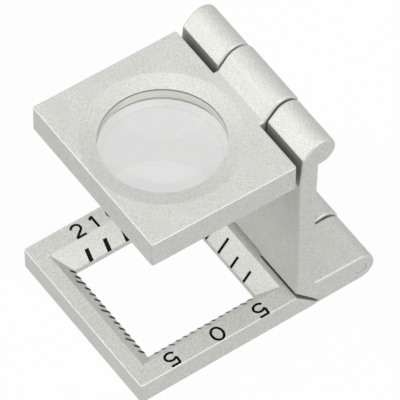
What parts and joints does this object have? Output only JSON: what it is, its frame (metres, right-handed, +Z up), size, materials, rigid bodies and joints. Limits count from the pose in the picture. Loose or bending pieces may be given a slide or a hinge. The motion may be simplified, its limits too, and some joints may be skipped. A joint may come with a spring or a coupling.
{
  "type": "folding magnifier",
  "caption": "Pocket folding magnifier on a graduated square window base, with an upright that folds back under the base and a lens plate that folds against the upright.",
  "frame": {"origin": "middle of the outline on the table, at the underside of the base", "axes": "+Z up, +Y from the front rail towards the hinges, +X across to the side with the millimetre scale"},
  "size_m": [0.024, 0.0328, 0.0301],
  "materials": {
    "satin_casting": "satin",
    "black_enamel": "gloss",
    "pin_steel": "satin",
    "lens_glass": "polished"
  },
  "bodies": {
    "base": {"base_plate": "satin_casting", "mm_graduations": "black_enamel", "inch_graduations": "black_enamel"},
    "upright": {"upright": "satin_casting", "lower_hinge_pin": "pin_steel", "upper_hinge_pin": "pin_steel"},
    "lens_plate": {"lens_frame": "satin_casting", "lens": "lens_glass", "lens_retaining_ring": "pin_steel"}
  },
  "joints": [
    {"name": "upright_fold", "type": "hinge", "parent": "base", "child": "upright", "pos_m": [0, 0.0143, 0.00195], "axis": [-1, 0, 0], "range_deg": [-1.4, 268.4]},
    {"name": "lens_fold", "type": "hinge", "parent": "upright", "child": "lens_plate", "pos_m": [0, 0.00893, 0.02801], "axis": [-1, 0, 0], "range_deg": [0, 270]}
  ]
}
